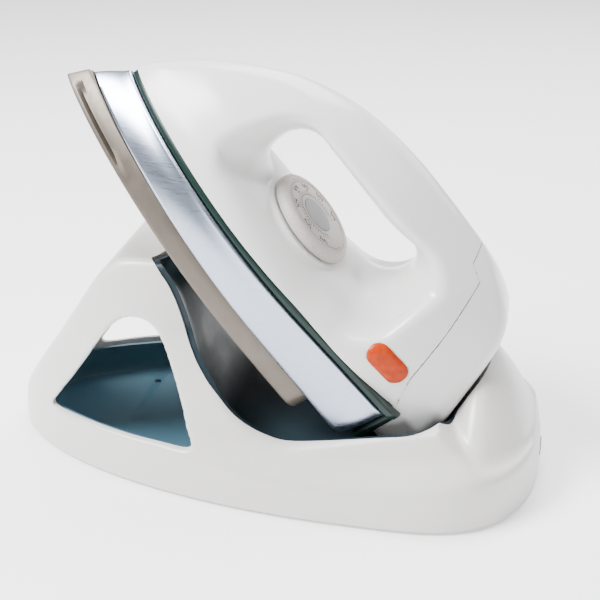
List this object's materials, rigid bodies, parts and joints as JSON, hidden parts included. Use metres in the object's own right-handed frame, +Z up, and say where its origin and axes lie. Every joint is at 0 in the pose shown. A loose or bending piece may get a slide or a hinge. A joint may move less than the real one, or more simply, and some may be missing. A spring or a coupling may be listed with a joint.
{
  "type": "cordless iron with docking stand",
  "caption": "Cordless dry iron with a temperature dial, standing nose-up in a plastic docking stand with side arches, tray and sprung contacts.",
  "frame": {"origin": "on the surface the stand's feet rest on, under the middle of the overall box", "axes": "+X from the stand's nose to its tail, +Z up; the iron's nose points up towards -X and +Y is across"},
  "size_m": [0.2899, 0.15, 0.2137],
  "materials": {
    "cast_aluminium": "fine cast, satin",
    "skirt_metal": "smooth satin, bluish",
    "heat_shield_plastic": "moulded, semi-matte",
    "iron_white": "glossy moulded",
    "stand_white": "satin moulded",
    "lining_slate": "moulded, matte",
    "tray_blue": "moulded, satin",
    "base_grey": "moulded, matte",
    "dial_grey": "matte with a printed scale",
    "dial_cap_grey": "matte",
    "lamp_amber": "clear tinted, ribbed inside",
    "lamp_glass": "clear",
    "black_plastic": "moulded",
    "ceramic": "unglazed steatite",
    "steel": "plated",
    "brass": "satin",
    "rubber": "matte",
    "lead_brown": "insulated wire",
    "lead_blue": "insulated wire"
  },
  "bodies": {
    "stand": {"stand_cover": "stand_white", "cradle_lining": "lining_slate", "tray": "tray_blue", "base_plate": "base_grey", "foot_1": "rubber", "foot_2": "rubber", "foot_3": "rubber", "foot_4": "rubber", "base_screw_1": "steel", "base_screw_2": "steel", "base_screw_3": "steel", "base_screw_4": "steel", "sole_rest_left": "rubber", "sole_rest_right": "rubber", "heel_rest_left": "rubber", "heel_rest_right": "rubber", "dock_block": "black_plastic", "stand_lead_left": "lead_brown", "stand_lead_right": "lead_blue", "cable_gland": "rubber"},
    "plunger_left": {"contact_plunger_left": "brass", "contact_spring_left": "steel"},
    "plunger_right": {"contact_plunger_right": "brass", "contact_spring_right": "steel"},
    "iron": {"soleplate": "cast_aluminium", "heating_element": "steel", "cover_screw_1": "steel", "cover_screw_2": "steel", "cover_screw_3": "steel", "skirt": "skirt_metal", "heat_shield": "heat_shield_plastic", "body_shell": "iron_white", "rear_cover": "iron_white", "contact_plate_left": "brass", "contact_plate_right": "brass", "terminal_block": "ceramic", "thermostat": "ceramic", "thermostat_bimetal": "brass", "thermal_fuse": "steel", "lamp_lens": "lamp_amber", "lamp_holder": "black_plastic", "lamp_bulb": "lamp_glass", "iron_lead_left": "lead_brown", "iron_lead_right": "lead_blue"},
    "dial": {"dial": "dial_grey", "dial_face": "dial_grey", "dial_cap": "dial_cap_grey", "dial_shaft": "steel"}
  },
  "joints": [
    {"name": "iron_lift", "type": "slide", "parent": "stand", "child": "iron", "axis": [0, 0, 1], "range_m": [0, 0.22]},
    {"name": "dial_turn", "type": "hinge", "parent": "iron", "child": "dial", "pos_m": [0.01818, 0, 0.13124], "axis": [0.7738, 0, 0.6334], "range_deg": [-200, 70]},
    {"name": "plunger_left_press", "type": "slide", "parent": "stand", "child": "plunger_left", "axis": [0.8691, 0, -0.4946], "range_m": [0, 0.0025], "stiffness_N_per_m": 400, "springref_m": -0.002},
    {"name": "plunger_right_press", "type": "slide", "parent": "stand", "child": "plunger_right", "axis": [0.8691, 0, -0.4946], "range_m": [0, 0.0025], "stiffness_N_per_m": 400, "springref_m": -0.002}
  ]
}
